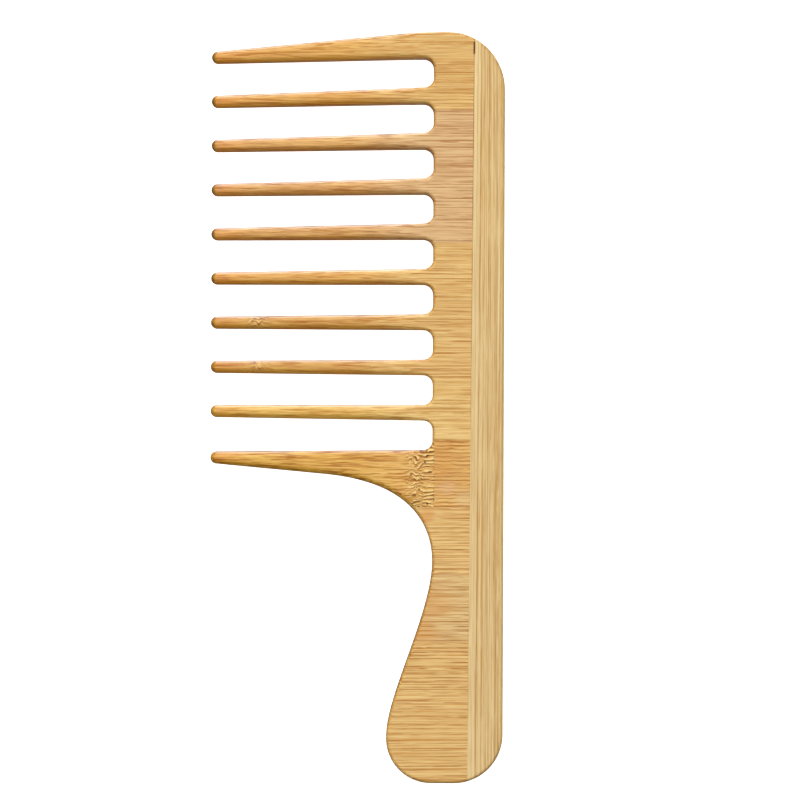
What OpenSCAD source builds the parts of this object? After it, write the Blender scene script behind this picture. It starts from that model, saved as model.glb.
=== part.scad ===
// Wide tooth comb, glued up from bamboo slats and cut to shape in one piece.
// Ten teeth point along -X, the handle along -Y, and the comb lies flat on its back face at Z = 0.
// The toothed board is two layers of slats whose fibres run along the teeth. Their ends carry a
// tongue, which is glued into a groove in a spine of three strips that run the whole length.

/* [Board] */
// Thickness of the comb
comb_t = 10; // [9:0.5:12]
// Radius of the rounded rims of the board and the handle
rim_r = 0.9; // [0.6:0.1:1.2]
// Radius of the slots' inner corners
corner_r = 2.6; // [2:0.1:3]
// X of the glue line between slats and spine, at the top of the comb
glue_top_x = 30.9; // [30:0.1:31]
// X of the same glue line at the bottom of the handle
glue_bottom_x = 29.7; // [29.5:0.1:31]

/* [Teeth] */
// Width of a tooth where it leaves the board
tooth_root_w = 4.2; // [4:0.1:5]
// Width of a tooth at its tip
tooth_tip_w = 3.3; // [2.6:0.1:3.8]
// Thickness of a tooth at its tip
tooth_tip_t = 5; // [4:0.5:7]
// Distance between the teeth where they leave the board
root_pitch = 12.08; // [12:0.01:12.1]
// Distance between the teeth at their tips
tip_pitch = 11.79; // [11.7:0.01:11.9]
// Radius of the rims of a tooth, rounder than those of the board
tooth_rim_r = 1.35; // [1:0.05:1.5]

/* [Spine] */
// X of the joint between the inner and the middle strip
inner_joint_x = 34.3; // [34:0.1:35]
// X of the joint between the middle and the outer strip
outer_joint_x = 36.8; // [36.5:0.1:37]
// Length of the tongue on the slats, past the glue line
tongue_l = 2.4; // [1.5:0.1:2.8]
// Thickness of the tongue, half of it on each layer
tongue_t = 3; // [2:0.5:4]

/* [Hidden] */
// The outline, seen from the front, is centred on the origin.
half_w = 39.1;
half_l = 100;
teeth = 10;
slot_end_x = 20.2;
// The teeth are as thick as the board up to here, where the slots' round ends begin.
root_x = slot_end_x - corner_r;
// The rims grow from the root line to here.
rim_end_x = 8.5;
tip_r = tooth_tip_w / 2;
tip_x = tip_r - half_w;
// Centre of the ninth tooth, counted from the top, at its root and at its tip
ninth_root_y = -1.45;
ninth_tip_y = -1.2;
// The last tooth droops a little towards its tip.
last_tip_y = -13.6;
// A tip is not quite wide enough for the teeth's rims.
tip_rim_r = min(tooth_rim_r, 0.8 * tip_r);

// Corners and curves of the outline
top_corner_r = 15.4;
top_bend_r = 150;
top_slope = 5;
bulb_r = 12;
bulb_x = 8.05;
heel_r = 13;
throat = [[-8, -17.9], [1.5, -18.9], [19.7, -22.3], [20.2, -41]];
grip = [[20.2, -41], [20.2, -55], [bulb_x, -77], [bulb_x, bulb_r - half_l]];

// Joints between the slats of each layer, from the handle up. They pass beside the teeth.
front_joints = [-79.9, -62.2, -44.4, -26.5, -8.7, 8, 27, 43.8, 62.5, 79.2];
back_joints = [-87.5, -71.5, -55, -38.5, -22, -4.2, 16.5, 38.2, 53, 74.6, 89];
margin = 5;

// Bamboo colours
knuckle_tan = [0.82, 0.60, 0.34];
honey_tan = [0.86, 0.68, 0.44];
pale_tan = [0.88, 0.72, 0.50];
straw_tan = [0.88, 0.76, 0.54];

// ---- The outline, counter-clockwise, with the wood on the left ----

function mix(a, b, t) = a + (b - a) * t;

function arc(centre, r, from, to, steps) =
    [for (i = [0:steps]) let (a = mix(from, to, i / steps)) centre + r * [cos(a), sin(a)]];

function bezier_at(p, t) =
    let (u = 1 - t)
    u * u * u * p[0] + 3 * u * u * t * p[1] + 3 * u * t * t * p[2] + t * t * t * p[3];

// Points of the curve p between two of its parameters
function bezier(p, steps, from = 0, to = 1) =
    [for (i = [0:steps]) bezier_at(p, mix(from, to, i / steps))];

// Parameter at which the curve p passes x, found by halving
function bezier_t(p, x, lo = 0, hi = 1, rounds = 20) =
    rounds == 0 ? lo
    : let (t = (lo + hi) / 2)
        bezier_at(p, t)[0] < x ? bezier_t(p, x, t, hi, rounds - 1) : bezier_t(p, x, lo, t, rounds - 1);

function drop_first(path) = [for (i = [1:len(path) - 1]) path[i]];
function drop_last(path) = [for (i = [0:len(path) - 2]) path[i]];

// Centre of tooth i, 0 at the top, at its root and at its tip
ninth = 8;
function root_y(i) = ninth_root_y + root_pitch * (ninth - i);
function tip_y(i) = i == teeth - 1 ? last_tip_y : ninth_tip_y + tip_pitch * (ninth - i);

// The two sides of a tooth at its root
function root_top(i) = [root_x, root_y(i) + tooth_root_w / 2];
function root_bottom(i) = [root_x, root_y(i) - tooth_root_w / 2];
tip_steps = 6;
function tip(i) = arc([tip_x, tip_y(i)], tip_r, 90, 270, tip_steps);

// The two sides of a tooth where its rims have grown to their full radius
rim_end = (root_x - rim_end_x) / (root_x - tip_x);
function side_top(i) = mix(root_top(i), [tip_x, tip_y(i) + tip_r], rim_end);
function side_bottom(i) = mix(root_bottom(i), [tip_x, tip_y(i) - tip_r], rim_end);

// The top edge falls away from the corner in a long bend, which the root line divides.
bend_centre = [half_w - top_corner_r, half_l - top_bend_r];
bend_root = 90 + asin((bend_centre[0] - root_x) / top_bend_r);

// The underside of the last tooth runs on into the handle. The root line divides it as well.
throat_root = bezier_t(throat, root_x);

bend_steps = 2;
throat_steps = 9;
first_tooth = concat(
    arc(bend_centre, top_bend_r, bend_root, 90 + top_slope, bend_steps),
    tip(0), [side_bottom(0), root_bottom(0)]);
last_tooth = concat(
    [root_top(teeth - 1), side_top(teeth - 1)],
    tip(teeth - 1), bezier(throat, throat_steps, 0, throat_root));
function tooth(i) =
    i == 0 ? first_tooth
    : i == teeth - 1 ? last_tooth
    : concat([root_top(i), side_top(i)], tip(i), [side_bottom(i), root_bottom(i)]);

// Round end of the slot under tooth i
slot_steps = 4;
function slot_end(i) = drop_first(drop_last(concat(
    arc(root_bottom(i) - [0, corner_r], corner_r, 90, 0, slot_steps),
    arc(root_top(i + 1) + [0, corner_r], corner_r, 0, -90, slot_steps))));

corner_steps = 8;
// One point of the bend lies between the corner and the root line.
bend_angle = 91;
top_corner = concat(
    arc([half_w - top_corner_r, half_l - top_corner_r], top_corner_r, 0, 90, corner_steps),
    [bend_centre + top_bend_r * [cos(bend_angle), sin(bend_angle)]]);
neck_steps = 4;
grip_steps = 12;
handle = concat(
    drop_first(bezier(throat, neck_steps, throat_root, 1)),
    drop_first(bezier(grip, grip_steps)),
    drop_first(arc([bulb_x + bulb_r, bulb_r - half_l], bulb_r, 180, 270, corner_steps)),
    arc([half_w - heel_r, heel_r - half_l], heel_r, 270, 360, corner_steps));
// Points on the back of the spine: across from the middle of the grip, from the neck, and from each
// tooth but the first, from the handle up
spine_back = concat(
    [[half_w, bezier_at(grip, 0.5)[1]], [half_w, grip[0][1]]],
    [for (i = [teeth - 1:-1:1]) [half_w, root_y(i)]]);

// All stretches in order: each tooth is followed by a slot end, and the last one by the handle.
stretches = concat(
    [top_corner],
    [for (i = [0:teeth - 2]) each [tooth(i), slot_end(i)]],
    [tooth(teeth - 1), handle, spine_back]);
outline = [for (s = stretches) each s];
count = len(outline);

function length_before(k) = k == 0 ? 0 : len(stretches[k - 1]) + length_before(k - 1);
starts = [for (k = [0:len(stretches)]) length_before(k)];
tooth_start = [for (i = [0:teeth - 1]) starts[2 * i + 1]];
tooth_end = [for (i = [0:teeth - 1]) starts[2 * i + 2] - 1];
neck = tooth_end[teeth - 1] + neck_steps;
grip_middle = neck + grip_steps / 2;
handle_end = starts[len(stretches) - 1] - 1;
// Index of the point on the back of the spine that is across from tooth i. The first is on the corner.
corner_point = 5;
function across(i) = i == 0 ? corner_point : count - i;
// Index of the middle of the slot under tooth i
function slot_middle(i) = tooth_end[i] + slot_steps;

// ---- The comb as one skin, in rings from the front face round the rim to the back face ----

rim_steps = 4;
rings = 2 * (rim_steps + 1);

// 0 on the board and the handle, and 1 at the tip of a tooth
function towards_tip(p) = p[0] > root_x || p[1] < grip[0][1] ? 0 : (root_x - p[0]) / (root_x - tip_x);
function wood_t(p) = mix(comb_t, tooth_tip_t, towards_tip(p));
function rim_at(p) =
    let (t = towards_tip(p))
    t < rim_end ? mix(rim_r, tooth_rim_r, t / rim_end)
    : mix(tooth_rim_r, tip_rim_r, (t - rim_end) / (1 - rim_end));

// Direction into the wood at point j
function inward(j) =
    let (step = outline[(j + 1) % count] - outline[(j + count - 1) % count])
    [-step[1], step[0]] / norm(step);

// Point j of ring k. The rim is a quarter circle on the front half, and its mirror on the back.
function skin_point(j, k) =
    let (front = k <= rim_steps,
        a = 90 * (front ? k : rings - 1 - k) / rim_steps,
        r = rim_at(outline[j]),
        at = outline[j] + r * (1 - sin(a)) * inward(j),
        rise = wood_t(at) / 2 - r * (1 - cos(a)))
    [at[0], at[1], comb_t / 2 + (front ? rise : -rise)];

// Faces of the front as lists of points of the outline. Each is a fan about its first point.
corner_fan = [for (j = [corner_point:tooth_start[0]]) j];
function upper_fan(i) = [across(i), tooth_start[i], for (j = [tooth_end[i]:slot_middle(i)]) j];
function lower_fan(i) = [
    across(i + 1),
    if (i == 0) each [for (j = [0:corner_point - 1]) j],
    across(i),
    for (j = [slot_middle(i):tooth_start[i + 1]]) j];
// The neck's and the grip's points on the back of the spine follow the teeth's.
neck_fan = [across(teeth - 1), tooth_start[teeth - 1], for (j = [tooth_end[teeth - 1]:neck]) j];
grip_fan = [across(teeth), across(teeth - 1), for (j = [neck:grip_middle]) j];
bulb_fan = [across(teeth + 1), across(teeth), for (j = [grip_middle:handle_end]) j];
// A tooth's fan starts where its upper rim has grown to its full radius.
function tooth_side(i) = tooth_start[i] + (i == 0 ? bend_steps : 1);
function tooth_fan(i) = [
    for (j = [tooth_side(i):tooth_end[i]]) j,
    for (j = [tooth_start[i]:tooth_side(i) - 1]) j];
front_fans = concat(
    [corner_fan, neck_fan, grip_fan, bulb_fan],
    [for (i = [0:teeth - 2]) each [upper_fan(i), lower_fan(i)]],
    [for (i = [0:teeth - 1]) tooth_fan(i)]);

function reversed(v) = [for (i = [len(v) - 1:-1:0]) v[i]];

module comb_shape() {
    back = (rings - 1) * count;
    polyhedron(
        points = [for (k = [0:rings - 1], j = [0:count - 1]) skin_point(j, k)],
        faces = concat(
            [for (fan = front_fans) concat([fan[0]], reversed(drop_first(fan)))],
            [for (fan = front_fans) [for (j = fan) j + back]],
            [for (k = [0:rings - 2], j = [0:count - 1])
                let (a = k * count + j, b = k * count + (j + 1) % count)
                each [[a, b, b + count], [a, b + count, a + count]]]));
}

// X of the glue line at height y
function glue_x(y) = mix(glue_bottom_x, glue_top_x, (y + half_l) / (2 * half_l));

// A block from the tooth tips to the glue line, or past it by extra
module slat_block(y0, y1, z0, z1, extra = 0) {
    left = -half_w - margin;
    translate([0, 0, z0])
        linear_extrude(z1 - z0)
            polygon([[left, y0], [glue_x(y0) + extra, y0], [glue_x(y1) + extra, y1], [left, y1]]);
}

// Slat i of a layer, with its tongue. joints are the layer's joints.
module slat(joints, i, z0, z1) {
    y0 = i == 0 ? -half_l - margin : joints[i - 1];
    y1 = i == len(joints) ? half_l + margin : joints[i];
    intersection() {
        comb_shape();
        union() {
            slat_block(y0, y1, z0, z1);
            slat_block(y0, y1, max(z0, comb_t / 2 - tongue_t / 2),
                min(z1, comb_t / 2 + tongue_t / 2), tongue_l);
        }
    }
}

module front_slat(i) {
    tans = [honey_tan, pale_tan, pale_tan, pale_tan, knuckle_tan, honey_tan];
    color(tans[min(i, len(tans) - 1)]) slat(front_joints, i, comb_t / 2, comb_t);
}

module back_slat(i) {
    color(honey_tan) slat(back_joints, i, 0, comb_t / 2);
}

// A slice of the comb from x0 to x1, over its whole length and thickness
module spine_slice(x0, x1) {
    intersection() {
        comb_shape();
        translate([x0, -half_l - margin, -margin])
            cube([x1 - x0, 2 * (half_l + margin), comb_t + 2 * margin]);
    }
}

// The strip beside the slats, with the groove for their tongues
module spine_inner() {
    y0 = -half_l - margin;
    y1 = half_l + margin;
    color(straw_tan)
        difference() {
            spine_slice(glue_bottom_x - margin, inner_joint_x);
            slat_block(y0, y1, -margin, comb_t + margin);
            slat_block(y0, y1, comb_t / 2 - tongue_t / 2, comb_t / 2 + tongue_t / 2, tongue_l);
        }
}

module spine_middle() {
    color(pale_tan) spine_slice(inner_joint_x, outer_joint_x);
}

module spine_outer() {
    color(straw_tan) spine_slice(outer_joint_x, half_w + margin);
}

for (i = [0:len(front_joints)])
    front_slat(i);
for (i = [0:len(back_joints)])
    back_slat(i);
spine_inner();
spine_middle();
spine_outer();
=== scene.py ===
"""Wide tooth comb of glued bamboo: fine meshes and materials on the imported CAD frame."""
import math

import bmesh
import bpy
import numpy
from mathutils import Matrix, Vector, geometry


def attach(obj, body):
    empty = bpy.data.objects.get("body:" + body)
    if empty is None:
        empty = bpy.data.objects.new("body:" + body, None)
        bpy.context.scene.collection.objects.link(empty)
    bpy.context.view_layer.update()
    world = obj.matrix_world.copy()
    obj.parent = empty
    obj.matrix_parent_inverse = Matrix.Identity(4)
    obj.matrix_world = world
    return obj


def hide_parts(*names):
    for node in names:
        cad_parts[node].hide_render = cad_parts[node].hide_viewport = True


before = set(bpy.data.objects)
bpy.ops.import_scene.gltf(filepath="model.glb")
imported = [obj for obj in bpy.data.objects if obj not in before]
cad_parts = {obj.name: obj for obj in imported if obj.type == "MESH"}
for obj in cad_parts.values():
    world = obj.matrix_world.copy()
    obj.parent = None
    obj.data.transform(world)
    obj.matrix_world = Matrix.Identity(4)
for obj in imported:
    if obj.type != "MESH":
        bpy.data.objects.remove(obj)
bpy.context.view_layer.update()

# ---- Measures in millimetres, the same as in part.scad ----
MM = 0.001
COMB_T = 10.0
GLUE_TOP_X, GLUE_BOTTOM_X = 30.9, 29.7
ROOT_W, TIP_W, TIP_T = 4.2, 3.3, 5.0
ROOT_PITCH, TIP_PITCH = 12.08, 11.79
INNER_JOINT_X, OUTER_JOINT_X = 34.3, 36.8
TONGUE_L, TONGUE_T = 2.4, 3.0
HALF_W, HALF_L = 39.1, 100.0
TEETH = 10
CORNER_R = 2.6
SLOT_END_X = 20.2
ROOT_X = SLOT_END_X - CORNER_R
TIP_R = TIP_W / 2
TIP_X = TIP_R - HALF_W
NINTH_ROOT_Y, NINTH_TIP_Y, LAST_TIP_Y = -1.45, -1.2, -13.6
TOP_CORNER_R, TOP_BEND_R, TOP_SLOPE = 15.4, 150.0, 5.0
BULB_R, BULB_X, HEEL_R = 12.0, 8.05, 13.0
THROAT = ((-8, -17.9), (1.5, -18.9), (19.7, -22.3), (20.2, -41))
GRIP = ((20.2, -41), (20.2, -55), (BULB_X, -77), (BULB_X, BULB_R - HALF_L))
FRONT_JOINTS = (-79.9, -62.2, -44.4, -26.5, -8.7, 8, 27, 43.8, 62.5, 79.2)
BACK_JOINTS = (-87.5, -71.5, -55, -38.5, -22, -4.2, 16.5, 38.2, 53, 74.6, 89)

# Rims: small on the board, wider on the teeth, which are crowned as well
BOARD_RIM = 0.9
TOOTH_RIM = 1.35
CROWN = 0.4
# Rims and crowns reach in by at most these shares of half a tooth, and crowns by CROWN_REACH
RIM_SHARE, CROWN_SHARE, CROWN_REACH = 0.8, 0.93, 3.0
FLAT_FROM_X, FLAT_TO_X = 19.0, 8.5
RIM_STEPS, CROWN_STEPS = 7, 4
# Lengths of the outline's edges, and the distances at which points count as one
ARC_STEP, LINE_STEP, TIP_STEP, BEND_STEP, LONG_STEP = 0.35, 0.9, 0.2, 1.0, 2.0
CURVE_STEPS = 80
SAME_POINT, CUT_TOLERANCE, MERGE_METRES = 0.02, 1e-4, 2e-7
SHARP_DEGREES, FACE_WEIGHT = 38, 80
MARGIN = 1.0


def mix(a, b, t):
    return a + (b - a) * t


def clamp(v):
    return min(1.0, max(0.0, v))


def smooth(v):
    v = clamp(v)
    return v * v * (3 - 2 * v)


# ---- The outline ----

def arc(centre, r, start, end, step=ARC_STEP):
    count = max(2, math.ceil(math.radians(abs(end - start)) * r / step))
    turns = [math.radians(mix(start, end, i / count)) for i in range(count + 1)]
    return [(centre[0] + r * math.cos(a), centre[1] + r * math.sin(a)) for a in turns]


def straight(a, b, step=LINE_STEP):
    count = max(1, math.ceil(math.dist(a, b) / step))
    return [(mix(a[0], b[0], i / count), mix(a[1], b[1], i / count)) for i in range(count + 1)]


def bezier(p, count):
    made = []
    for i in range(count + 1):
        t = i / count
        u = 1 - t
        w = (u ** 3, 3 * u * u * t, 3 * u * t * t, t ** 3)
        made.append(tuple(sum(w[k] * p[k][c] for k in range(4)) for c in (0, 1)))
    return made


def joined(*paths):
    made = []
    for path in paths:
        for p in path:
            if not made or math.dist(p, made[-1]) > SAME_POINT:
                made.append(p)
    return made


def root_y(i):
    return NINTH_ROOT_Y + ROOT_PITCH * (8 - i)


def tip_y(i):
    return LAST_TIP_Y if i == TEETH - 1 else NINTH_TIP_Y + TIP_PITCH * (8 - i)


def tooth_sides(i):
    """Upper and lower side of a tooth, each from the board to the tip."""
    upper = straight((ROOT_X, root_y(i) + ROOT_W / 2), (TIP_X, tip_y(i) + TIP_R))
    lower = straight((ROOT_X, root_y(i) - ROOT_W / 2), (TIP_X, tip_y(i) - TIP_R))
    if i == 0:
        centre = (HALF_W - TOP_CORNER_R, HALF_L - TOP_BEND_R)
        bend = arc(centre, TOP_BEND_R, 90, 90 + TOP_SLOPE, BEND_STEP)
        upper = joined(bend, straight(bend[-1], (TIP_X, tip_y(0) + TIP_R)))
    if i == TEETH - 1:
        curve = bezier(THROAT, CURVE_STEPS)
        lower = joined(reversed(curve), straight(curve[0], (TIP_X, tip_y(i) - TIP_R)))
    return upper, lower


def outline():
    """Points of the outline, counter-clockwise."""
    made = [arc((HALF_W - TOP_CORNER_R, HALF_L - TOP_CORNER_R), TOP_CORNER_R, 0, 90)]
    for i in range(TEETH):
        upper, lower = tooth_sides(i)
        made += [upper, arc((TIP_X, tip_y(i)), TIP_R, 90, 270, TIP_STEP), list(reversed(lower))]
        if i < TEETH - 1:
            low = root_y(i) - ROOT_W / 2 - CORNER_R
            high = root_y(i + 1) + ROOT_W / 2 + CORNER_R
            made += [arc((ROOT_X, low), CORNER_R, 90, 0), arc((ROOT_X, high), CORNER_R, 0, -90)]
    made += [
        bezier(GRIP, CURVE_STEPS),
        arc((BULB_X + BULB_R, BULB_R - HALF_L), BULB_R, 180, 270),
        arc((HALF_W - HEEL_R, HEEL_R - HALF_L), HEEL_R, 270, 360),
        straight((HALF_W, HEEL_R - HALF_L), (HALF_W, HALF_L - TOP_CORNER_R), LONG_STEP),
    ]
    points = joined(*made)
    if math.dist(points[0], points[-1]) < SAME_POINT:
        points.pop()
    return points


POINTS = outline()
COUNT = len(POINTS)
SIDES = [tooth_sides(i) for i in range(TEETH)]


def half_width(p):
    """Half the width of the tooth at p, or a wide value off the teeth."""
    x, y = p
    if x > FLAT_FROM_X:
        return ROOT_W / 2
    i = min(range(TEETH), key=lambda k: abs(y - mix(tip_y(k), root_y(k), (x - TIP_X) / (ROOT_X - TIP_X))))
    if x < TIP_X:
        return TIP_R
    if x > ROOT_X and 0 < i < TEETH - 1:
        return ROOT_W / 2
    upper, lower = SIDES[i]
    ux, uy = zip(*reversed(upper))
    lx, ly = zip(*reversed(lower))
    return (numpy.interp(x, ux, uy) - numpy.interp(x, lx, ly)) / 2


def towards_tip(x, y):
    return 0.0 if y < GRIP[0][1] else clamp((ROOT_X - x) / (ROOT_X - TIP_X))


def inward(j):
    a, b = POINTS[j - 1], POINTS[(j + 1) % COUNT]
    step = (b[0] - a[0], b[1] - a[1])
    size = math.hypot(*step)
    return -step[1] / size, step[0] / size


def ring_columns():
    """For each point of the outline, the points from the mid-plane up, over the rim and the crown."""
    columns = []
    for j, p in enumerate(POINTS):
        off_board = smooth((FLAT_FROM_X - p[0]) / (FLAT_FROM_X - FLAT_TO_X))
        tooth = off_board if p[1] > GRIP[0][1] else 0.0
        half = half_width(p)
        rim = min(mix(BOARD_RIM, TOOTH_RIM, tooth), RIM_SHARE * half)
        reach = mix(rim + 0.1, min(CROWN_SHARE * half, CROWN_REACH), tooth)
        crown = CROWN * tooth
        normal = inward(j)
        column = [(p[0], p[1], 0.0)]
        for k in range(RIM_STEPS + CROWN_STEPS + 1):
            if k <= RIM_STEPS:
                turn = math.pi / 2 * k / RIM_STEPS
                inset = rim * (1 - math.cos(turn))
                drop = rim * (1 - math.sin(turn))
            else:
                inset = mix(rim, reach, (k - RIM_STEPS) / CROWN_STEPS)
                drop = 0.0
            drop += crown * (1 - inset / reach) ** 2
            x, y = p[0] + inset * normal[0], p[1] + inset * normal[1]
            top = mix(COMB_T, TIP_T, towards_tip(x, y)) / 2
            column.append((x, y, top - drop))
        columns.append(column)
    return columns


def filled(ring):
    """Triangles inside a ring of 2D points, as indices into it."""
    flat = [Vector((p[0], p[1])) for p in ring]
    found = geometry.delaunay_2d_cdt(flat, [], [list(range(len(flat)))], 1, 1e-6)
    names = [from_input[0] for from_input in found[3]]
    return [[names[v] for v in face] for face in found[2]]


COLUMNS = ring_columns()
LEVELS = len(COLUMNS[0])
MID_FACES = filled([c[0] for c in COLUMNS])
TOP_FACES = filled([c[-1] for c in COLUMNS])


def shell(front, back):
    """The comb as a closed mesh: its front half, its back half, or both."""
    bm = bmesh.new()
    rings = {}
    mid = COMB_T / 2
    for side, wanted in ((1, front), (-1, back)):
        if not wanted:
            continue
        for k in range(LEVELS):
            if k == 0 and (0, -side) in rings:
                rings[0, side] = rings[0, -side]
                continue
            rings[k, side] = [bm.verts.new((c[k][0], c[k][1], mid + side * c[k][2])) for c in COLUMNS]
        for k in range(LEVELS - 1):
            low, high = rings[k, side], rings[k + 1, side]
            for j in range(COUNT):
                n = (j + 1) % COUNT
                quad = (low[j], low[n], high[n], high[j])
                bm.faces.new(quad if side > 0 else quad[::-1])
        for face in TOP_FACES:
            corner = [rings[LEVELS - 1, side][v] for v in face]
            bm.faces.new(corner if side > 0 else corner[::-1])
    if front != back:
        side = 1 if front else -1
        for face in MID_FACES:
            corner = [rings[0, side][v] for v in face]
            bm.faces.new(corner[::-1] if side > 0 else corner)
    bm.normal_update()
    return bm


def keep(bm, at, normal, levels=()):
    """Cuts bm at a plane, removes what the normal points at, and closes the cut. levels are heights
    at which faces are split before the long ones are made into triangles."""
    every = bm.verts[:] + bm.edges[:] + bm.faces[:]
    bmesh.ops.bisect_plane(
        bm, geom=every, dist=CUT_TOLERANCE, plane_co=at, plane_no=normal, clear_outer=True)
    open_edges = [e for e in bm.edges if e.is_boundary]
    if open_edges:
        bmesh.ops.holes_fill(bm, edges=open_edges, sides=0)
    for z in levels:
        every = bm.verts[:] + bm.edges[:] + bm.faces[:]
        bmesh.ops.bisect_plane(
            bm, geom=every, dist=CUT_TOLERANCE, plane_co=Vector((0, 0, z)), plane_no=Vector((0, 0, 1)))
    bmesh.ops.triangulate(bm, faces=[f for f in bm.faces if len(f.verts) > 4])


def open_seam(bm, at, normal, low, high):
    """Removes bm's faces in a plane between two heights, where another shell is joined on."""
    doomed = [f for f in bm.faces
              if low < f.calc_center_median().z < high
              and all(abs((v.co - at).dot(normal)) < 1e-3 for v in f.verts)]
    bmesh.ops.delete(bm, geom=doomed, context="FACES")


def glue_plane(extra=0.0):
    """A point on the glue line's plane, and its normal towards the spine."""
    at = Vector((GLUE_BOTTOM_X + extra, -HALF_L, 0))
    along = Vector((GLUE_TOP_X - GLUE_BOTTOM_X, 2 * HALF_L, 0))
    return at, Vector((along.y, -along.x, 0)).normalized()


def piece(name, node, bm_list, material):
    """One piece from closed meshes in millimetres, standing for a CAD node."""
    mesh = bpy.data.meshes.new(name)
    whole = bmesh.new()
    for bm in bm_list:
        for v in bm.verts:
            v.co *= MM
        part = bpy.data.meshes.new(name + "_part")
        bm.to_mesh(part)
        whole.from_mesh(part)
        bpy.data.meshes.remove(part)
        bm.free()
    bmesh.ops.remove_doubles(whole, verts=whole.verts, dist=MERGE_METRES)
    for f in whole.faces:
        f.smooth = True
    whole.to_mesh(mesh)
    whole.free()
    mesh.set_sharp_from_angle(angle=math.radians(SHARP_DEGREES))
    obj = bpy.data.objects.new(name, mesh)
    bpy.context.scene.collection.objects.link(obj)
    mesh.materials.append(material)
    weighted = obj.modifiers.new("normals", "WEIGHTED_NORMAL")
    weighted.keep_sharp = True
    weighted.weight = FACE_WEIGHT
    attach(obj, "root")
    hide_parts(node)
    return obj


# ---- Materials: colours are sRGB, lengths are in millimetres ----

# Tints that multiply the wood: on the teeth, at their tips and on end grain, and painted shade on the ends
# of the tips and on the sides of the slats
TOOTH_TINT, TIP_TINT = (250, 229, 172), (252, 232, 190)
END_GRAIN_TINT, TIP_END_SHADE_TINT, SIDE_SHADE_TINT = (250, 222, 168), (184, 202, 208), (208, 184, 150)
# Marks in a knuckle of the cane, and the painted highlight beside its rows of dashes
KNUCKLE_HIGHLIGHT, KNUCKLE_PORE, KNUCKLE_END = (255, 220, 136), (56, 24, 4), (150, 96, 36)
BOARD_MARK, TOOTH_MARK = (132, 78, 0), (158, 94, 8)
# The glue line, painted shade in the open gap of its starved piece, the long fibres of the spine and its
# pale strip
GLUE_BROWN, STARVED_GAP_SHADE = (150, 100, 44), (104, 60, 8)
LONG_FIBRE, PALE_STRIP = (176, 124, 52), (246, 219, 158)
STARVED_FROM_Y, STARVED_TO_Y = 93.6, 97.6
# Where the tints and the painted shade of the teeth begin and end
TINT_FROM_X, TINT_TO_X, TIPS_FROM_X, TIPS_TO_X = 17.0, -6.0, -27.0, -36.0
TIP_END_X, SIDE_SHADE_FROM_X, LOWER_TEETH_Y, UPPER_TEETH_Y = -28.0, -37.0, 14.0, 34.0
# Every slat lies elsewhere in the pattern
SLAT_OFFSET, SLAT_DRIFT = 61.0, 13.0


def linear(rgb):
    """An sRGB colour of 0 to 255 as scene-linear RGBA."""
    return tuple((c / 255 / 12.92) if c <= 10 else ((c / 255 + 0.055) / 1.055) ** 2.4 for c in rgb) + (1.0,)


class Tree:
    """Short names for building one material's nodes."""

    def __init__(self, name):
        self.material = bpy.data.materials.new(name)
        self.material.use_nodes = True
        self.nodes = self.material.node_tree.nodes
        self.links = self.material.node_tree.links
        self.nodes.clear()

    def node(self, kind, inputs=None, **settings):
        made = self.nodes.new("ShaderNode" + kind)
        for key, value in settings.items():
            setattr(made, key, value)
        for key, value in (inputs or {}).items():
            self.put(made.inputs[key], value)
        return made

    def put(self, socket, value):
        if isinstance(value, bpy.types.NodeSocket):
            self.links.new(value, socket)
        else:
            socket.default_value = value

    def math(self, operation, a, b=0.0, c=0.0, clamped=False):
        made = self.node("Math", {0: a, 1: b, 2: c}, operation=operation, use_clamp=clamped)
        return made.outputs[0]

    def span(self, value, low, high, to_low=0.0, to_high=1.0):
        """value between low and high, mapped smoothly and held beyond them"""
        made = self.node("MapRange", {"Value": value, "From Min": low, "From Max": high,
                                      "To Min": to_low, "To Max": to_high}, interpolation_type="SMOOTHSTEP")
        return made.outputs["Result"]

    def colour(self, factor, a, b, blend="MIX"):
        made = self.node("Mix", data_type="RGBA", blend_type=blend)
        made.clamp_factor = True
        self.put(made.inputs[0], factor)
        self.put(made.inputs[6], a)
        self.put(made.inputs[7], b)
        return made.outputs[2]

    def vector(self, x, y, z):
        return self.node("CombineXYZ", {0: x, 1: y, 2: z}).outputs[0]

    def noise(self, where, scale, detail=2.0, rough=0.5):
        made = self.node("TexNoise", {"Vector": where, "Scale": scale, "Detail": detail,
                                      "Roughness": rough, "Distortion": 0.0})
        return made.outputs[0]

    def finished(self, inputs):
        shader = self.node("BsdfPrincipled", inputs)
        self.links.new(shader.outputs[0], self.node("OutputMaterial").inputs[0])
        return self.material


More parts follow.
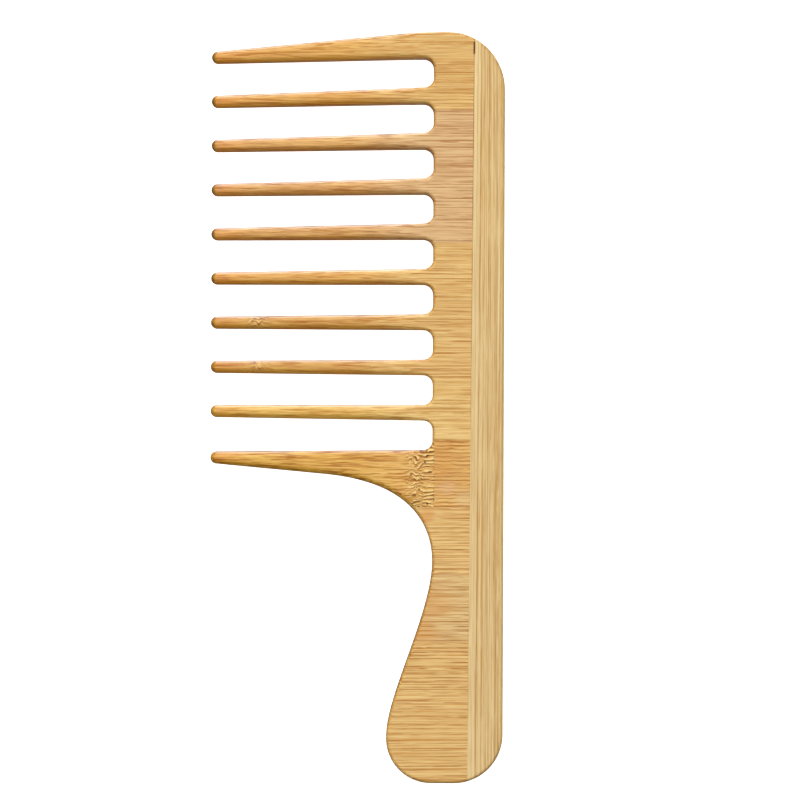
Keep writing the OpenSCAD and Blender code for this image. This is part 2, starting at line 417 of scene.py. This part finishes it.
def bamboo(name, along, seed, tones, edges=(), lines=(), knuckles=(), teeth=None, contrast=1.0,
           glue=None, stains=(), pale_strip=None, wavy=False):
    """Bamboo with its fibres along X or Y, u along them and v across. tones is (light, mid, fibre).
    edges are the slat's sides in v. lines are (place, slope, width, strength) of single long fibres.
    knuckles are (from, to) in u. teeth is a tint for the teeth. glue is the glue line's X at the
    bottom and the top. stains are (u, v, reach, amount, colour) of soft patches. pale_strip is the
    place of a pale strip beside the glue line. wavy adds rows of fibres past the knuckle."""
    t = Tree(name)
    spot = t.node("TexCoord").outputs["Object"]
    split = t.node("SeparateXYZ", {0: spot})
    x, y, z = [t.math("MULTIPLY", split.outputs[k], 1000.0) for k in range(3)]
    u, v = (x, y) if along == "X" else (y, x)
    light, mid, dark = [linear(c) for c in tones]
    deep = (dark[0] * 0.7, dark[1] * 0.54, dark[2] * 0.34, 1.0)
    # Places in the wood, moved apart for each slat
    u2 = t.math("ADD", u, SLAT_OFFSET * seed)
    slow = t.vector(t.math("MULTIPLY", u2, 0.012), t.math("MULTIPLY", v, 0.05), seed * 3.7)
    drift = t.noise(slow, 1.0, 1.0)
    v2 = t.math("ADD", v, t.math("MULTIPLY", t.math("SUBTRACT", drift, 0.5), 1.6))
    v2 = t.math("ADD", v2, SLAT_DRIFT * seed)
    knuckle = None
    for low, high in knuckles:
        fade = (high - low) / 4
        ragged = t.noise(t.vector(seed, t.math("MULTIPLY", v, 0.8), 0.0), 1.0, 2.0)
        start = t.math("ADD", u, t.math("MULTIPLY", t.math("SUBTRACT", ragged, 0.5), 3.0))
        # A knuckle in a tooth fades out; one in the board ends along a line
        end = t.span(start, high, high - 3.0) if low < 0 else t.span(u, high + 0.25, high - 0.05)
        inside = t.math("MULTIPLY", t.span(start, low - fade, low + fade), end)
        knuckle = inside if knuckle is None else t.math("MAXIMUM", knuckle, inside)
        around = t.math("MULTIPLY", t.span(u, low - 9.0, low), t.span(u, high + 12.0, high + 4.0))
        swirl = t.noise(t.vector(t.math("MULTIPLY", u2, 0.22), t.math("MULTIPLY", v2, 0.45), z), 1.0, 2.0)
        near = t.math("ADD", t.math("MULTIPLY", around, 0.9), t.math("MULTIPLY", knuckle, 1.4))
        v2 = t.math("ADD", v2, t.math("MULTIPLY", t.math("SUBTRACT", swirl, 0.5), near))

    def streaks(per_mm, long_mm, detail, rough, shift):
        where = t.vector(t.math("MULTIPLY", u2, 1 / long_mm), t.math("MULTIPLY", v2, per_mm),
                         t.math("MULTIPLY", z, per_mm))
        moved = t.node("VectorMath", {0: where, 1: (shift, shift, shift)})
        return t.noise(moved.outputs[0], 1.0, detail, rough)

    def fading(per_mm, long_mm, shift):
        where = t.vector(t.math("MULTIPLY", u2, 1 / long_mm), t.math("MULTIPLY", v2, per_mm), seed + shift)
        return t.noise(where, 1.0, 2.0)

    def rows(pitch, reach, sway, bends, live_from, shift):
        """Rows of fibre ends: thin dark lines and pale ones under them, broken up along the fibres."""
        bend = t.vector(t.math("MULTIPLY", u2, bends), t.math("MULTIPLY", v2, 0.4), seed + shift)
        warp = t.noise(bend, 1.0, 1.0)
        phase = t.math("ADD", v2, t.math("MULTIPLY", t.math("SUBTRACT", warp, 0.5), sway))
        phase = t.math("MULTIPLY", t.math("ADD", phase, z), 1 / pitch)
        within = t.math("FRACT", phase)
        row = t.math("MULTIPLY", t.math("FLOOR", phase), 5.17)
        live = t.noise(t.vector(t.math("MULTIPLY", u2, 1 / reach), row, seed + shift), 1.0, 1.0)
        line = t.math("ABSOLUTE", t.math("SUBTRACT", within, 0.2))
        shine = t.math("ABSOLUTE", t.math("SUBTRACT", within, 0.56))
        live = t.span(live, live_from, live_from + 0.1)
        return (t.math("MULTIPLY", t.span(line, 0.2, 0.1), live),
                t.math("MULTIPLY", t.span(shine, 0.26, 0.14), live))

    fine = streaks(2.3, 60.0, 2.0, 0.55, 4.1)
    hair = streaks(4.4, 6.0, 1.0, 0.5, 17.3)
    band = streaks(0.4, 120.0, 1.0, 0.5, 9.7)
    wide = t.vector(t.math("MULTIPLY", u2, 0.05), t.math("MULTIPLY", v2, 0.12), seed)
    patch = t.noise(wide, 1.0, 2.0)

    vary = t.span(fading(1.5, 10.0, 11.9), 0.3, 0.7, 0.5 * contrast, 3.2 * contrast)
    tone = t.math("MULTIPLY", t.math("SUBTRACT", fine, 0.5), vary)
    tone = t.math("ADD", tone, t.math("MULTIPLY", t.math("SUBTRACT", hair, 0.5), 1.2 * contrast))
    tone = t.math("ADD", tone, t.math("MULTIPLY", t.math("SUBTRACT", band, 0.5), 0.55))
    tone = t.math("ADD", tone, t.math("MULTIPLY", t.math("SUBTRACT", patch, 0.5), 0.5))
    tone = t.math("ADD", tone, 0.5, clamped=True)
    colour = t.colour(t.span(tone, 0.45, 1.0), mid, light)
    colour = t.colour(t.span(tone, 0.5, 0.05), colour, dark)
    # Bundles of fibres: crisp dark lines with pale ones beside them, which fade in and out
    fade = fading(1.6, 10.0, 2.1)
    bundle = streaks(2.4, 220.0, 1.0, 0.4, 31.9)
    strong = t.math("MULTIPLY", t.span(bundle, 0.55, 0.6), t.span(fade, 0.4, 0.56))
    pale = t.math("MULTIPLY", t.span(bundle, 0.42, 0.33), t.span(fade, 0.3, 0.6))
    rare = t.math("MULTIPLY", t.span(streaks(1.6, 250.0, 0.0, 0.4, 53.1), 0.62, 0.67),
                  t.span(fading(1.1, 6.0, 7.7), 0.4, 0.6))
    colour = t.colour(t.math("MULTIPLY", pale, 0.5 * contrast), colour, light)
    colour = t.colour(t.math("MULTIPLY", strong, 0.62 * contrast), colour, deep)
    colour = t.colour(t.math("MULTIPLY", rare, 0.5 * contrast), colour, deep)
    row_dark, row_pale = rows(0.98, 9.0, 0.8, 0.07, 0.46, 3.3)
    row_dark = t.math("MULTIPLY", row_dark, t.span(fading(0.25, 14.0, 8.8), 0.42, 0.58))
    colour = t.colour(t.math("MULTIPLY", row_pale, 0.2 * contrast), colour, light)
    colour = t.colour(t.math("MULTIPLY", row_dark, 0.42 * contrast), colour, deep)
    if wavy:
        row_dark, row_pale = rows(1.05, 6.0, 0.9, 0.2, 0.4, 6.1)
        beyond = t.span(u, 19.0, 22.0)
        colour = t.colour(t.math("MULTIPLY", t.math("MULTIPLY", row_pale, beyond), 0.4), colour, light)
        colour = t.colour(t.math("MULTIPLY", t.math("MULTIPLY", row_dark, beyond), 0.65), colour, deep)
    for place, across, reach, amount, stain in stains:
        far = t.math("POWER", t.math("MULTIPLY", t.math("SUBTRACT", u, place), 0.8), 2.0)
        far = t.math("ADD", far, t.math("POWER", t.math("SUBTRACT", v, across), 2.0))
        far = t.math("ADD", t.math("SQRT", far), t.math("MULTIPLY", t.math("SUBTRACT", patch, 0.5), 6.0))
        colour = t.colour(t.span(far, reach, reach * 0.3, 0.0, amount), colour, linear(stain))
    if teeth:
        warm = t.span(u, TINT_FROM_X, TINT_TO_X)
        colour = t.colour(t.math("MULTIPLY", warm, 0.9), colour, linear(teeth), "MULTIPLY")
        warm = t.span(u, TIPS_FROM_X, TIPS_TO_X)
        colour = t.colour(t.math("MULTIPLY", warm, 0.8), colour, linear(TIP_TINT), "MULTIPLY")
    # Cut ends of the fibres take up more oil than the flat faces
    normal = t.node("SeparateXYZ", {0: t.node("NewGeometry").outputs["Normal"]})
    cut = t.span(t.math("ABSOLUTE", normal.outputs[0 if along == "X" else 1]), 0.2, 0.75)
    if along == "Y":
        colour = t.colour(t.math("MULTIPLY", cut, 0.75), colour, linear(END_GRAIN_TINT), "MULTIPLY")
    else:
        off_tips = t.span(u, TIP_END_X, TIP_END_X + 8.0)
        amount = t.math("MULTIPLY", cut, t.math("MULTIPLY", off_tips, 0.3))
        colour = t.colour(amount, colour, linear(END_GRAIN_TINT), "MULTIPLY")
        # Painted shade on the end grain of the tips makes them darker and greyer, less so on the lower
        # teeth
        amount = t.math("MULTIPLY", cut, t.math("SUBTRACT", 1.0, off_tips))
        amount = t.math("MULTIPLY", amount, t.span(v, LOWER_TEETH_Y, UPPER_TEETH_Y, 0.3, 1.0))
        colour = t.colour(amount, colour, linear(TIP_END_SHADE_TINT), "MULTIPLY")
        # Painted shade makes the sides of the slats darker as well, up to the tips
        side_shade = t.span(t.math("ABSOLUTE", normal.outputs[2]), 0.6, 0.15)
        side_shade = t.math("MULTIPLY", side_shade, t.span(u, SIDE_SHADE_FROM_X, SIDE_SHADE_FROM_X + 6.0))
        colour = t.colour(t.math("MULTIPLY", side_shade, 0.85), colour, linear(SIDE_SHADE_TINT), "MULTIPLY")
    height = t.math("ADD", t.math("MULTIPLY", fine, 0.6), t.math("MULTIPLY", hair, 0.4))
    height = t.math("SUBTRACT", height, t.math("MULTIPLY", strong, 0.5))
    dull = t.math("MULTIPLY", t.math("MAXIMUM", strong, rare), 0.7)
    if knuckle is not None:
        # Curled fibres on the side away from the board, and rows of short dashes next to it
        middle = sum(sum(pair) for pair in knuckles) / (2 * len(knuckles)) + 0.4
        rowed = t.math("MULTIPLY", t.span(u, middle - 0.8, middle + 0.8), knuckle)
        curled = t.math("SUBTRACT", knuckle, rowed)
        row_dark, row_pale = rows(1.1, 2.6, 0.6, 0.3, 0.36, 1.7)
        curl_dark, curl_highlight = rows(1.0, 1.1, 3.2, 0.55, 0.38, 2.9)
        marks = t.math("ADD", t.math("MULTIPLY", row_dark, rowed), t.math("MULTIPLY", curl_dark, curled))
        highlight = t.math("ADD", t.math("MULTIPLY", row_pale, rowed), t.math("MULTIPLY", curl_highlight, curled))
        where = t.vector(t.math("MULTIPLY", u2, 0.42), t.math("MULTIPLY", v2, 0.5),
                         t.math("MULTIPLY", z, 0.4))
        pores = t.node("TexVoronoi", {"Vector": where, "Scale": 1.0, "Randomness": 1.0})
        pores = t.math("MULTIPLY", t.span(pores.outputs["Distance"], 0.17, 0.09), knuckle)
        in_board = knuckles[0][0] > 0
        # Painted highlights on the pale sides of the knuckle's rows and curls, stronger in the board
        highlight_strength = 0.85 if in_board else 0.35
        colour = t.colour(t.math("MULTIPLY", highlight, highlight_strength), colour, linear(KNUCKLE_HIGHLIGHT))
        tan = BOARD_MARK if in_board else TOOTH_MARK
        colour = t.colour(t.math("MULTIPLY", marks, 0.95), colour, linear(tan))
        if in_board:
            dull = t.math("MAXIMUM", dull, t.math("MAXIMUM", marks, pores))
        colour = t.colour(t.math("MULTIPLY", pores, 0.9), colour, linear(KNUCKLE_PORE))
        for low, high in [pair for pair in knuckles if pair[0] > 0]:
            gap = t.math("ABSOLUTE", t.math("SUBTRACT", u, high))
            broken = t.noise(t.vector(seed, t.math("MULTIPLY", v, 1.2), 3.0), 1.0, 1.0)
            on = t.math("MULTIPLY", t.span(gap, 0.22, 0.0), t.span(broken, 0.4, 0.6))
            colour = t.colour(t.math("MULTIPLY", on, 0.6), colour, linear(KNUCKLE_END))
    if pale_strip:
        at = t.math("ADD", t.math("MULTIPLY", y, (GLUE_TOP_X - GLUE_BOTTOM_X) / (2 * HALF_L)), pale_strip)
        off = t.math("ABSOLUTE", t.math("SUBTRACT", x, at))
        colour = t.colour(t.math("MULTIPLY", t.span(off, 1.1, 0.8), 0.42), colour, linear(PALE_STRIP))
    for place, slope, width, strength in lines:
        centre = t.math("ADD", t.math("MULTIPLY", u, slope), place)
        sway = t.noise(t.vector(t.math("MULTIPLY", u, 0.03), place, seed), 1.0, 1.0)
        centre = t.math("ADD", centre, t.math("MULTIPLY", t.math("SUBTRACT", sway, 0.5), 0.25))
        gap = t.math("ABSOLUTE", t.math("SUBTRACT", v, centre))
        on = t.math("MULTIPLY", t.span(gap, width, 0.0), strength)
        life = t.noise(t.vector(t.math("MULTIPLY", u, 0.06), place, seed + 5), 1.0, 2.0)
        on = t.math("MULTIPLY", on, t.span(life, 0.3, 0.6, 0.4, 1.0))
        colour = t.colour(on, colour, linear(LONG_FIBRE))
    for place in edges:
        gap = t.math("ABSOLUTE", t.math("SUBTRACT", v, place))
        colour = t.colour(t.span(gap, 0.14, 0.0, 0.0, 0.45), colour, deep)
    if along == "X":
        gap = t.math("ABSOLUTE", t.math("SUBTRACT", z, COMB_T / 2))
        colour = t.colour(t.span(gap, 0.14, 0.02, 0.0, 0.5), colour, deep)
    if glue is not None:
        low, high = glue
        at = t.math("ADD", t.math("MULTIPLY", y, (high - low) / (2 * HALF_L)), (high + low) / 2)
        gap = t.math("ABSOLUTE", t.math("SUBTRACT", x, at))
        life = t.noise(t.vector(0.0, t.math("MULTIPLY", y, 0.06), 2.0), 1.0, 2.0)
        life = t.math("MULTIPLY", t.span(life, 0.35, 0.6, 0.35, 0.9), t.span(y, -8.0, 4.0, 0.2, 1.0))
        colour = t.colour(t.math("MULTIPLY", t.span(gap, 0.2, 0.0), life), colour, linear(GLUE_BROWN))
        # Painted shade in the open gap where the glue line is starved
        gap_shade = t.math("MULTIPLY", t.span(y, STARVED_FROM_Y, STARVED_FROM_Y + 0.8),
                         t.span(y, STARVED_TO_Y, STARVED_TO_Y - 0.6))
        gap_shade = t.math("MULTIPLY", gap_shade, t.span(gap, 0.34, 0.16))
        colour = t.colour(gap_shade, colour, linear(STARVED_GAP_SHADE))
        dull = t.math("MAXIMUM", dull, gap_shade)
    bump = t.node("Bump", {"Height": height, "Strength": 0.4, "Distance": 0.00015})
    rough = t.span(fine, 0.25, 0.75, 0.5, 0.4)
    rough = t.math("ADD", rough, t.math("MULTIPLY", dull, 0.4), clamped=True)
    return t.finished({
        "Base Color": colour, "Roughness": rough, "Normal": bump.outputs[0],
        "IOR": 1.45, "Specular IOR Level": 0.5, "Coat Weight": 0.12, "Coat Roughness": 0.3,
        "Sheen Weight": 0.2, "Sheen Roughness": 0.4, "Sheen Tint": linear((255, 240, 205))})


# Tones of bamboo: light, mid and fibre
GOLD = ((243, 203, 124), (228, 181, 100), (212, 150, 62))
PALE = ((241, 207, 137), (225, 182, 111), (206, 152, 74))
PINK = ((238, 198, 136), (222, 175, 115), (200, 144, 80))
DEEP = ((244, 197, 108), (229, 172, 76), (206, 137, 42))
STRAW = ((243, 214, 151), (230, 194, 125), (212, 163, 88))
LIGHT = ((247, 211, 133), (235, 192, 110), (221, 164, 74))
# Tints of the teeth that differ from TOOTH_TINT, by the slat's index
TOOTH_TINTS = {4: (250, 247, 190), 5: (253, 246, 192), 6: (236, 215, 147)}
ORANGE = (220, 146, 52)
TEETH_FROM_Y = -25
# Soft patches of the front slats, by the slat's index
STAINS = {
    2: ((20.0, -51.5, 6.0, 0.4, ORANGE), (16.5, -60.0, 5.0, 0.45, ORANGE)),
    3: ((18.6, -29.0, 2.6, 0.55, ORANGE),),
    4: ((24.5, -21.7, 2.8, 0.5, (232, 180, 124)), (28.6, -24.4, 4.0, 0.5, (232, 198, 140)),
        (15.6, -24.6, 2.2, 0.5, (206, 150, 44)), (21.0, -14.0, 6.0, 0.3, ORANGE)),
}

# The front slats from the bulb up; the back ones take three tones in turn
front_tones = [GOLD, GOLD, PALE, GOLD, DEEP, LIGHT, GOLD, GOLD, PINK, PINK, GOLD]
low_y, high_y = -HALF_L - MARGIN, HALF_L + MARGIN
for side, joints in (("front", FRONT_JOINTS), ("back", BACK_JOINTS)):
    front = side == "front"
    limits = [low_y, *joints, high_y]
    for i in range(len(limits) - 1):
        bounds_y = limits[i], limits[i + 1]
        turn = 1 if front else -1
        middle, level = COMB_T / 2, COMB_T / 2 + turn * TONGUE_T / 2
        slabs = []
        for tongue in (False, True):
            bm = shell(front, not front)
            if i > 0:
                keep(bm, Vector((0, bounds_y[0], 0)), Vector((0, -1, 0)))
            if i < len(joints):
                keep(bm, Vector((0, bounds_y[1], 0)), Vector((0, 1, 0)))
            at, away = glue_plane()
            keep(bm, at, -away if tongue else away, (level,))
            if tongue:
                keep(bm, glue_plane(TONGUE_L)[0], away)
                keep(bm, Vector((0, 0, level)), Vector((0, 0, turn)))
            open_seam(bm, at, away, min(middle, level), max(middle, level))
            slabs.append(bm)
        tooth_tint = TOOTH_TINTS.get(i, TOOTH_TINT) if bounds_y[1] > TEETH_FROM_Y else None
        tones = front_tones[i] if front else (GOLD, PALE, PINK)[i % 3]
        knots = {("front", 4): ((13.9, 20.5),), ("front", 6): ((-29.0, -22.5),)}.get((side, i), ())
        # The fibres stand out more on the handle, and around the knuckle
        strength = (1.0, 1.45, 1.45, 1.45, 1.4 if front else 1.0)[i] if i < 5 else 1.0
        material = bamboo(f"bamboo_{side}_{i + 1}", "X", i + (0.37 if front else 20.81), tones,
                          edges=bounds_y, knuckles=knots, teeth=tooth_tint, contrast=strength,
                          glue=(GLUE_BOTTOM_X, GLUE_TOP_X),
                          stains=STAINS.get(i, ()) if front else (), wavy=front and i == 4)
        piece(f"{side}_slat_{i + 1}_wood", f"{side}_slat_{i + 1}", slabs, material)

strip_limits = (GLUE_BOTTOM_X, INNER_JOINT_X, OUTER_JOINT_X, HALF_W + MARGIN)
strip_names = ("inner", "middle", "outer")
# Long fibres of each strip: place, slope, width and strength
strip_lines = (
    ((31.35, 0.006, 0.2, 0.4), (32.35, 0.006, 0.28, 0.85), (33.6, 0.003, 0.22, 0.6)),
    ((34.75, 0.002, 0.3, 0.65), (35.4, 0.001, 0.18, 0.35), (36.0, 0.0, 0.2, 0.5)),
    ((37.05, 0.0, 0.4, 0.65), (38.0, 0.0, 0.2, 0.4)),
)
for i, name in enumerate(strip_names):
    parts = []
    x0, x1 = strip_limits[i], strip_limits[i + 1]
    bm = shell(True, True)
    if i == 0:
        at, away = glue_plane(TONGUE_L)
        levels = COMB_T / 2 - TONGUE_T / 2, COMB_T / 2 + TONGUE_T / 2
        for turn in (-1, 1):
            cheek = shell(True, True)
            keep(cheek, at, away, levels)
            keep(cheek, glue_plane()[0], -away)
            keep(cheek, Vector((0, 0, COMB_T / 2 + turn * TONGUE_T / 2)), Vector((0, 0, -turn)))
            open_seam(cheek, at, away, 0, COMB_T)
            parts.append(cheek)
        keep(bm, at, -away, levels)
    else:
        keep(bm, Vector((x0, 0, 0)), Vector((-1, 0, 0)))
    if i < 2:
        keep(bm, Vector((x1, 0, 0)), Vector((1, 0, 0)))
    if i == 0:
        open_seam(bm, at, away, 0, levels[0])
        open_seam(bm, at, away, levels[1], COMB_T)
    parts.append(bm)
    material = bamboo(f"bamboo_spine_{name}", "Y", 40.3 + i, STRAW, lines=strip_lines[i],
                      edges=strip_limits[1:3], glue=(GLUE_BOTTOM_X, GLUE_TOP_X), contrast=0.6,
                      pale_strip=31.1 if i == 0 else None)
    piece(f"spine_{name}_wood", f"spine_{name}", parts, material)


# ---- Floor, light and camera: places are in metres ----

FLOOR_REACH, FLOOR_Z = 3.0, -0.0002
LENS, SENSOR = 185, 36
CAMERA_X, CAMERA_Y, CAMERA_UP, CAMERA_TURN = 0.01145, 0.00193, 1.093, 0.22
WORLD_STRENGTH = 0.04


def plain(name, rgb, glow):
    """A plain surface that also gives off light of its own."""
    return Tree(name).finished({
        "Base Color": linear(rgb), "Roughness": 0.9,
        "Emission Color": (1, 1, 1, 1), "Emission Strength": glow})


floor_mesh = bpy.data.meshes.new("floor")
bm = bmesh.new()
signs = (-1, -1), (1, -1), (1, 1), (-1, 1)
corners = [bm.verts.new((a * FLOOR_REACH, b * FLOOR_REACH, 0)) for a, b in signs]
bm.faces.new(corners)
bm.to_mesh(floor_mesh)
bm.free()
floor = bpy.data.objects.new("floor", floor_mesh)
floor_mesh.materials.append(plain("floor_white", (250, 250, 250), 0.9))
bpy.context.scene.collection.objects.link(floor)
floor.location.z = FLOOR_Z
floor.visible_diffuse = False
floor.visible_glossy = False


def lamp(name, place, aim, width, height, power):
    """A soft rectangular light that looks from place at aim."""
    data = bpy.data.lights.new(name, "AREA")
    data.shape = "RECTANGLE"
    data.size, data.size_y = width, height
    data.energy = power
    obj = bpy.data.objects.new(name, data)
    obj.location = place
    obj.rotation_euler = (Vector(aim) - Vector(place)).to_track_quat("-Z", "Y").to_euler()
    bpy.context.scene.collection.objects.link(obj)


lamp("sky_light", (-0.35, 1.12, 1.28), (0, 0, 0), width=1.0, height=1.1, power=19.2)
lamp("top_light", (0.0, -0.15, 1.6), (0, 0, 0), width=1.0, height=1.0, power=10.5)


def low_lamp(name, power, lean, width, colour=(1, 1, 1), turn=0.0):
    """A light without shadows from above the comb's first tooth, leaning away from the camera, or
    turned around the comb. Past 90 degrees of lean it comes from below the table's edge."""
    data = bpy.data.lights.new(name, "SUN")
    data.energy = power
    data.color = colour
    data.angle = math.radians(width)
    data.use_shadow = False
    obj = bpy.data.objects.new(name, data)
    obj.rotation_euler = (math.radians(-lean), 0, math.radians(turn))
    bpy.context.scene.collection.objects.link(obj)
    return obj


# For the upper sides of the teeth
low_lamp("low_light", power=0.8, lean=70, width=20)
gloss = low_lamp("low_gloss", power=3.2, lean=112, width=24, colour=(0.8, 0.92, 1.0))
gloss.visible_diffuse = False
# Light thrown back by the table, which reaches the sides but not the rims
right = low_lamp("table_light_right", power=2.4, lean=130, width=10, turn=-90)
under = low_lamp("table_light_under", power=0.7, lean=130, width=10, turn=180)
right.visible_glossy = under.visible_glossy = False

world = bpy.data.worlds.new("studio")
bpy.context.scene.world = world
world.use_nodes = True
world.node_tree.nodes["Background"].inputs[0].default_value = (1, 1, 1, 1)
world.node_tree.nodes["Background"].inputs[1].default_value = WORLD_STRENGTH

camera_data = bpy.data.cameras.new("camera")
camera_data.lens = LENS
camera_data.sensor_width = SENSOR
camera = bpy.data.objects.new("camera", camera_data)
camera.location = (CAMERA_X, CAMERA_Y, CAMERA_UP + COMB_T * MM)
camera.rotation_euler = (0, 0, math.radians(CAMERA_TURN))
bpy.context.scene.collection.objects.link(camera)
bpy.context.scene.camera = camera
bpy.context.scene.view_settings.view_transform = "Standard"
